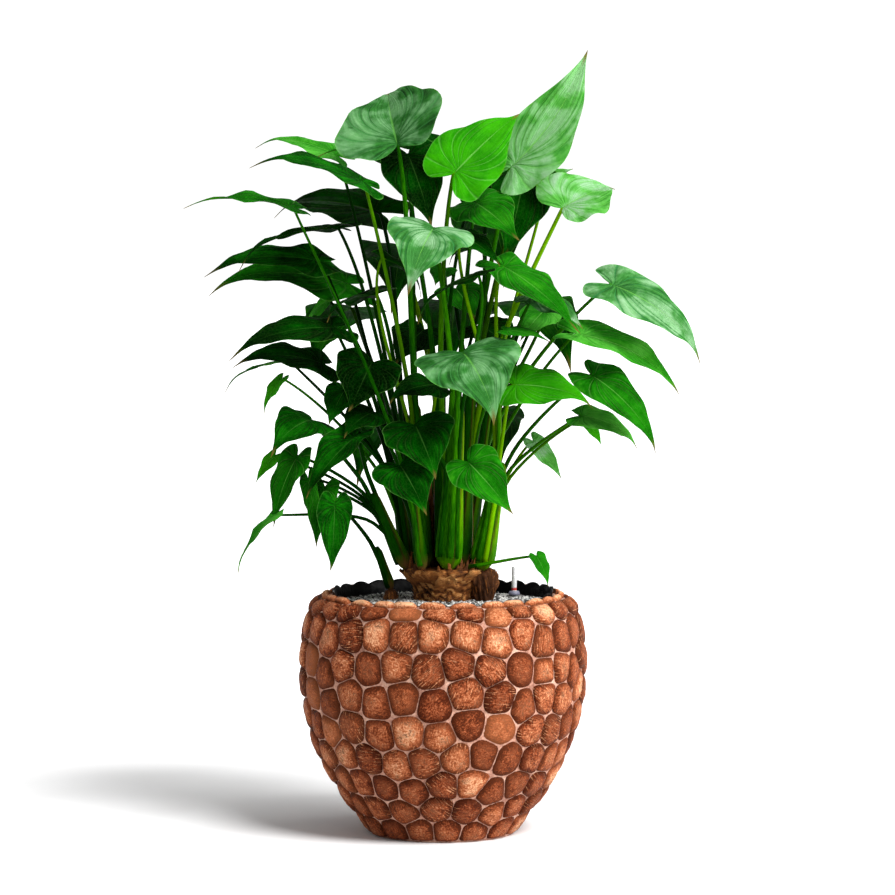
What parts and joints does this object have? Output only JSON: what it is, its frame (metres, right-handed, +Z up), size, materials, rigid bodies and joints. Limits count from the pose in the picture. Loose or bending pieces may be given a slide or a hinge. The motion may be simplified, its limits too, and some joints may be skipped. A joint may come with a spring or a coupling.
{
  "type": "potted plant",
  "caption": "Potted dwarf elephant ear: glossy heart-shaped leaves on long stalks from a brown rootstock, in a round planter faced with coconut-shell tiles, with grit and a water gauge",
  "frame": {"origin": "the centre of the flat foot of the planter, on the floor", "axes": "+Z up, -Y towards the front of the plant as pictured, +X to its right"},
  "size_m": [0.7073, 0.4911, 1.0923],
  "materials": {
    "tile": "brown coconut-shell tiles in pinkish beige grout, satin to matte",
    "liner": "black, slightly satin",
    "grit": "mottled grey, white and dark mineral grains, matte",
    "bark": "papery brown fibre, matte",
    "leaf": "glossy green leaf with paler veins, yellow-green stalks",
    "gauge": "milky translucent plastic",
    "float": "red plastic",
    "collar": "dark grey plastic"
  },
  "bodies": {
    "root": {"planter": "tile", "liner": "liner", "grit": "grit", "rootstock": "bark", "offset_rootstock": "bark", "gauge_tube": "gauge", "gauge_float": "float", "gauge_collar": "collar", "shoot_front_centre": "leaf", "shoot_front_right": "leaf", "shoot_front_left": "leaf", "shoot_left_low": "leaf", "shoot_left_middle": "leaf", "shoot_left_high": "leaf", "shoot_left_back": "leaf", "shoot_centre_high": "leaf", "shoot_right_of_centre": "leaf", "shoot_centre_back": "leaf", "shoot_right_high": "leaf", "shoot_right_back": "leaf", "shoot_right_low": "leaf", "shoot_back_low": "leaf", "shoot_left_offset": "leaf", "shoot_right_runner": "leaf"}
  },
  "joints": []
}
